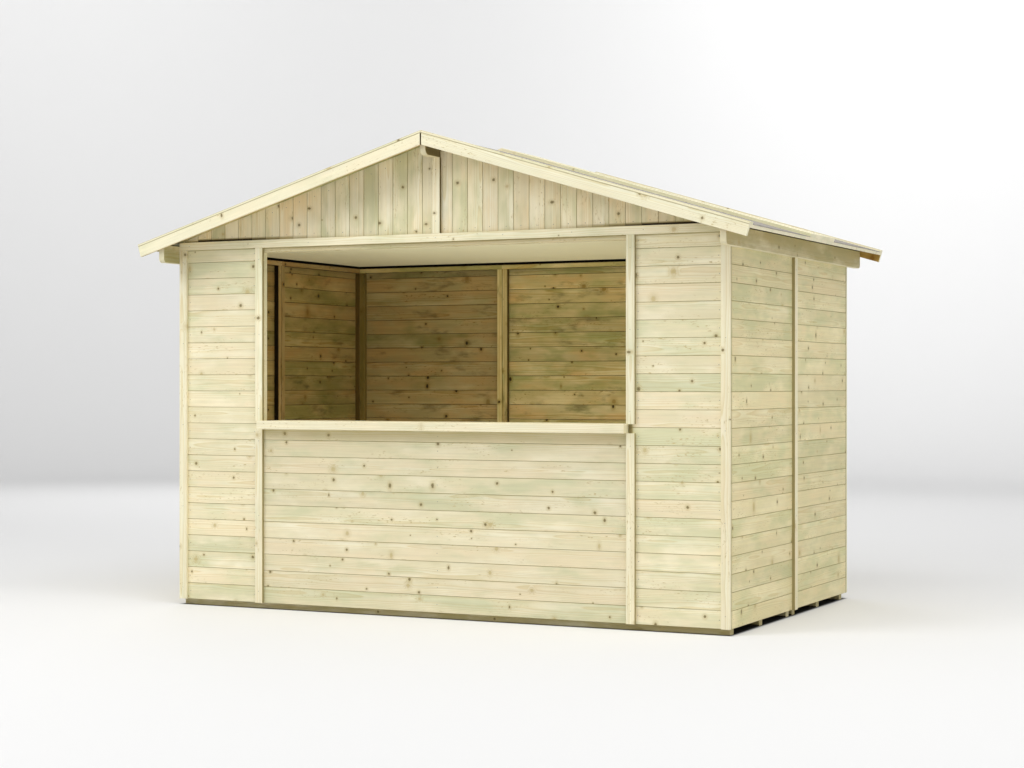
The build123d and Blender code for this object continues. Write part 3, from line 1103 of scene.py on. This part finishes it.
def purlin_outline(length, depth, rounding):
    """Side view of a purlin, as (along, up) points from its lower edge, with the steps of a shade."""
    steps = 8
    points = []
    for middle, start in ((rounding, math.pi), (length - rounding, 1.5 * math.pi)):
        for step in range(steps + 1):
            angle = start + step / steps * math.pi / 2
            points.append((middle + rounding * math.cos(angle), rounding + rounding * math.sin(angle)))
    heights = (depth - shade - shade_fade, depth - shade, depth)
    return points + [(length, up) for up in heights] + [(0, up) for up in reversed(heights)]


for node, rounding, face_mark in purlins:
    work = Joinery(f"{node}_timber")
    for lowest, highest in solids(node):
        top = min(highest.z, underside(highest.x)) if node == "ridge_purlin" else highest.z
        outline = purlin_outline(highest.y - lowest.y, top - lowest.z, rounding)
        place = placing(lowest, BACKWARD, UP, ACROSS)
        work.plate(outline, highest.x - lowest.x, place, face_mark=face_mark, top_mark=dark_mark)
    work.make(purlin_finish_and_painted_shade, "purlin_timber", node)

# Roof
deck_front, deck_back = low("roof_panels_left").y, high("roof_panels_left").y
infill_front, infill_back = low("roof_infill").y, high("roof_infill").y
cover_front, cover_back = low("roof_joint_cover_left").y, high("roof_joint_cover_left").y
roof_front, roof_back = low("barge_boards").y, high("barge_boards").y
cover_count = 5                 # boards of the joint cover
cover_board = (cover_back - cover_front) / cover_count
nail_spacing = 0.40
end_margin = 0.05


def slope_out(side):
    """Direction that a slope looks in."""
    return Vector((side * slope_sine, 0, slope_cosine))


def slope_place(side, y, layer=0.0, across=BACKWARD, depth=None):
    """Frame of a slope: along runs down from the ridge."""
    down = Vector((side * slope_cosine, 0, -slope_sine))
    origin = Vector((0, y, ridge_underside)) + slope_out(side) * layer
    return placing(origin, down, across, depth or slope_out(side))


def plumb_cut(layer, gap):
    """Distance down the slope of the plumb cut at the ridge, on a layer of the roof."""
    return (gap - layer * slope_sine) / slope_cosine


def slope_boards(
    work, side, y_start, y_end, thickness, layer=0.0, gap=0.0, cover=roof_cover, inner=NEAR_FACE
):
    """Boards that run down a slope, counted from y_start, in painted shade underneath, with painted
    highlights at their eave ends.
    """
    step = math.copysign(cover, y_end - y_start)
    count = math.ceil(abs(y_end - y_start) / cover - tiny)
    for index in range(count):
        near = y_start + index * step
        far = y_start + (index + 1) * step
        far = min(far, y_end) if step > 0 else max(far, y_end)
        section = tongue_section(abs(far - near), thickness, index > 0, index < count - 1)
        work.next_board(cover)
        place = slope_place(side, min(near, far), layer)
        cut = lambda across, depth: plumb_cut(layer + depth, gap)
        looks = {"saw": saw_chamfer, "inner": inner, "end_marks": (0.0, highlight_mark)}
        work.prism(section, cut, slope_length, place, **looks)


def nail_down(heads, side, y, layer):
    """A row of nails down a slope, on a layer of the roof."""
    matrix = slope_place(side, y, layer)
    ends = [matrix @ Vector((distance, 0, 0)) for distance in (0.0, slope_length)]
    heads.drive_row(*ends, slope_out(side), nail_spacing, end_margin)


infill_work = Joinery("roof_infill_boards")
for place_name, side in SIDES:
    work = Joinery(f"roof_panels_{place_name}_boards")
    slope_boards(work, side, infill_front, deck_front, deck_thickness)
    slope_boards(work, side, infill_back, deck_back, deck_thickness)
    work.make(roof_finish, "roof_boards", f"roof_panels_{place_name}")
    slope_boards(infill_work, side, infill_front, infill_back, deck_thickness, gap=ridge_joint)
    work = Joinery(f"roof_joint_cover_{place_name}_boards")
    slope_boards(
        work,
        side,
        cover_front,
        cover_back,
        cover_thickness,
        layer=deck_thickness,
        cover=cover_board,
        inner=OUTDOORS,
    )
    work.make(roof_finish, "roof_boards", f"roof_joint_cover_{place_name}")
infill_work.make(roof_finish, "roof_boards", "roof_infill")

# Barge boards and the caps on their top edges
barge_layer = deck_thickness - barge_depth
# The arrises of barge boards and caps carry painted highlights, and painted shade where board and cap meet
barge_section = square_section(
    barge_depth,
    deck_front - roof_front,
    arrises=(highlight_mark, seam_mark, seam_mark, highlight_mark),
)
cap_section = square_section(cap_width, cap_thickness, cap_arris, arrises=(seam_mark,) * 4)
barge_work = Joinery("barge_board_timber")
cap_work = Joinery("barge_cap_timber")
cap_nails = Heads("cap_nails")
barge_cut = lambda across, depth: plumb_cut(barge_layer + across, barge_joint)
cap_cut = lambda across, depth: plumb_cut(deck_thickness + depth, ridge_joint)
# The barge faces that look in under the roof take the painted shade of the inside
roof_ends = ((roof_front, roof_front, FAR_FACE), (deck_back, roof_back - cap_width, NEAR_FACE))
for side in (LEFT, RIGHT):
    for y_barge, y_cap, inner in roof_ends:
        barge_work.next_board(barge_depth)
        place = slope_place(side, y_barge, barge_layer, across=slope_out(side), depth=BACKWARD)
        # Their ridge ends are dark: painted shade in the open joint at the ridge
        looks = {"saw": saw_chamfer, "inner": inner, "end_marks": (dark_mark, 0.0)}
        barge_work.prism(barge_section, barge_cut, slope_length, place, **looks)
        cap_work.next_board(cap_width)
        place = slope_place(side, y_cap, deck_thickness)
        cap_work.prism(cap_section, cap_cut, slope_length, place, saw=saw_chamfer)
        nail_down(cap_nails, side, y_cap + cap_width / 2, deck_thickness + cap_thickness)
barge_work.make(barge_finish_and_painted_shade, "barge_timber", "barge_boards")
cap_work.make(barge_finish_and_painted_shade, "barge_timber", "barge_caps")
cap_nails.make("barge_timber")

# Nails through the joint cover, a row down the middle of each of its boards
cover_nails = Heads("cover_nails")
for side in (LEFT, RIGHT):
    for index in range(cover_count):
        middle = cover_front + (index + 0.5) * cover_board
        nail_down(cover_nails, side, middle, deck_thickness + cover_thickness)
cover_nails.make("roof_boards")

# Felt: sheets that lie in slight waves, held by clout nails along the eaves and beside the joint cover
wave_height = 0.0012
wave_fade = 0.05                # from flat at an edge to full waves
swell_count = 5
swell_limits = ((2, 9), (3, 14), (0, 6.3))      # radians in a metre down and across, and the phase
felt_columns = 56               # down the slope
felt_rows = 26
felt_overhang = 0.0007          # past the ends of the roof boards
clout_spacing = 0.10
clout_margin = 0.018


def swell_height(swells, along, across):
    """Height of the mixed swells at a place on a sheet, from -1 to 1."""
    rise = sum(math.sin(down * along + over * across + phase) for down, over, phase in swells)
    return rise / len(swells)


def felt_sheet(node, side):
    """Felt of one slope, in the two sheets of its node."""
    chance = random.Random(node)
    points = []
    faces = []
    row_length = felt_rows + 1
    layer_size = (felt_columns + 1) * row_length
    rim = [(column, 0) for column in range(felt_columns)]
    rim += [(felt_columns, row) for row in range(felt_rows)]
    rim += [(column, felt_rows) for column in range(felt_columns, 0, -1)]
    rim += [(0, row) for row in range(felt_rows, 0, -1)]
    for lowest, highest in solids(node):
        matrix = slope_place(side, lowest.y, deck_thickness)
        width = highest.y - lowest.y
        swells = [[chance.uniform(*limits) for limits in swell_limits] for swell in range(swell_count)]
        bottom = len(points)
        for depth, wave in ((0.0, 0.0), (felt_thickness, wave_height)):
            start = plumb_cut(deck_thickness + depth, 0.0)
            for column in range(felt_columns + 1):
                along = start + column / felt_columns * (slope_length + felt_overhang - start)
                for row in range(row_length):
                    across = row / felt_rows * width
                    edge = min(across, width - across, along, slope_length - along) / wave_fade
                    rise = wave * swell_height(swells, along, across)
                    height = depth + rise * min(max(edge, 0.0), 1.0)
                    points.append(matrix @ Vector((along, across, height)))
        for layer in (bottom, bottom + layer_size):
            for column in range(felt_columns):
                for row in range(felt_rows):
                    corner = layer + column * row_length + row
                    faces.append((corner, corner + row_length, corner + row_length + 1, corner + 1))
        edges = [bottom + column * row_length + row for column, row in rim]
        for here, following in zip(edges, edges[1:] + edges[:1]):
            faces.append((here, following, following + layer_size, here + layer_size))
    make_piece(f"{node}_sheets", points, faces, felt_finish, "roof_felt", node)


clout_nails = Heads("clout_nails", radius=0.005, height=0.001)
for place_name, side in SIDES:
    node = f"roof_felt_{place_name}"
    felt_sheet(node, side)
    matrix = slope_place(side, 0.0, deck_thickness + felt_thickness)
    eave = slope_length - clout_margin
    for lowest, highest in solids(node):
        toward_cover = lowest.y if lowest.y > 0 else highest.y
        beside_cover = toward_cover + math.copysign(clout_margin, toward_cover)
        rows = (
            ((eave, lowest.y), (eave, highest.y)),
            ((0.0, beside_cover), (slope_length, beside_cover)),
        )
        for ends in rows:
            start, end = [matrix @ Vector((*place, 0)) for place in ends]
            clout_nails.drive_row(start, end, slope_out(side), clout_spacing, end_margin)
clout_nails.make("roof_felt")

# Studio: a round sweep of pale floor and backdrop, soft lights, a pale sky and the camera
floor_radius = 15.0
bend_radius = 7.0
bend_steps = 24
sweep_turns = 96
backdrop_height = 12.0
floor_grey = 0.82
contact_shade = 0.04            # share of the floor's lightness in the painted shadow under the stall
contact_fade = 0.015


def studio_sweep():
    """A flat floor that bends up into a backdrop all the way round, with a painted shadow under the stall.
    """
    profile = [(floor_radius, 0.0)]
    for step in range(1, bend_steps + 1):
        angle = step / bend_steps * math.pi / 2
        profile.append((floor_radius + bend_radius * math.sin(angle), bend_radius * (1 - math.cos(angle))))
    profile.append((floor_radius + bend_radius, backdrop_height))
    points = [(0, 0, 0)]
    for radius, height in profile:
        for turn in range(sweep_turns):
            angle = turn / sweep_turns * 2 * math.pi
            points.append((radius * math.cos(angle), radius * math.sin(angle), height))
    faces = []
    for turn in range(sweep_turns):
        here, following = 1 + turn, 1 + (turn + 1) % sweep_turns
        faces.append((0, here, following))
        for ring in range(len(profile) - 1):
            inner, outer = ring * sweep_turns, (ring + 1) * sweep_turns
            faces.append((inner + here, outer + here, outer + following, inner + following))
    mesh = bpy.data.meshes.new("studio_sweep")
    mesh.from_pydata(points, [], faces)
    mesh.shade_smooth()
    sweep = bpy.data.objects.new("studio_sweep", mesh)
    bpy.context.scene.collection.objects.link(sweep)
    material, tree, shader = new_material("pale studio floor", specular=0.1)
    place = add(tree, "TexCoord")["Object"]
    away = add(tree, "SeparateXYZ", {0: vector(tree, "ABSOLUTE", place, (0, 0, 0))})
    past_sides = number(tree, "SUBTRACT", away["X"], wall_right)
    past_walls = number(tree, "SUBTRACT", away["Y"], wall_back)
    past = number(tree, "MAXIMUM", past_sides, past_walls)
    lit = span(tree, past, -contact_fade, contact_fade, contact_shade, 1.0)
    feed(tree, shader, {"Base Color": scaled(tree, (floor_grey,) * 3, lit), "Roughness": 0.9})
    mesh.materials.append(material)


def soft_light(name, place, aim, width, height, power):
    """A rectangular studio light that points at a place and doesn't show itself."""
    lamp = bpy.data.lights.new(name, "AREA")
    lamp.shape = "RECTANGLE"
    lamp.size = width
    lamp.size_y = height
    lamp.energy = power
    light = bpy.data.objects.new(name, lamp)
    light.location = place
    light.rotation_euler = (Vector(aim) - Vector(place)).to_track_quat("-Z", "Y").to_euler()
    light.visible_camera = False
    bpy.context.scene.collection.objects.link(light)


# Name, place, aim, width, height and power in watts
lights = (
    ("key light", (-6.0, -8.0, 7.0), (0, 0, 1.0), 5.0, 4.0, 335),
    ("front light", (1.2, -5.0, 10.0), (0.3, 0, 1.0), 8.0, 4.0, 400),
    ("right light", (6.0, -2.0, 8.0), (0, 0, 1.0), 4.0, 5.0, 240),
    ("rear light", (-7.0, 9.0, 6.0), (0, 0, 1.2), 5.0, 5.0, 180),
    ("inside bounce", (0.15, 0.1, 0.12), (0.15, 0.1, 1.0), 2.2, 1.1, 12),
    ("floor light right", (0.2, 10.0, 6.5), (5.0, 4.5, 0), 2.0, 3.0, 80),
    ("backdrop light low", (-9.0, 4.0, 7.0), (-9.0, 16.0, 4.0), 8.0, 4.0, 120),
    ("backdrop light left", (-12.0, 11.0, 9.0), (-17.0, 17.0, 6.0), 6.0, 3.0, 165),
    ("backdrop light right", (-2.0, 15.0, 9.0), (-2.6, 22.0, 6.0), 6.0, 3.0, 390),
)
studio_sweep()
for values in lights:
    soft_light(*values)

sky_strength = 0.48
world = bpy.data.worlds.new("studio sky")
world.use_nodes = True
sky = world.node_tree.nodes["Background"].inputs
sky["Color"].default_value = (1.0, 1.0, 1.0, 1.0)
sky["Strength"].default_value = sky_strength

camera_place = (4.5675, -9.354, 1.134)
camera_turn = math.radians(26.2)
lens_length = 70.0              # millimetres, on a 36 mm wide sensor
sensor_width = 36.0
camera_data = bpy.data.cameras.new("camera")
camera_data.lens = lens_length
camera_data.sensor_width = sensor_width
camera = bpy.data.objects.new("camera", camera_data)
camera.location = camera_place
camera.rotation_euler = (math.pi / 2, 0, camera_turn)
scene = bpy.context.scene
scene.collection.objects.link(camera)
scene.world = world
scene.camera = camera
scene.view_settings.view_transform = "Standard"
scene.cycles.diffuse_bounces = 8
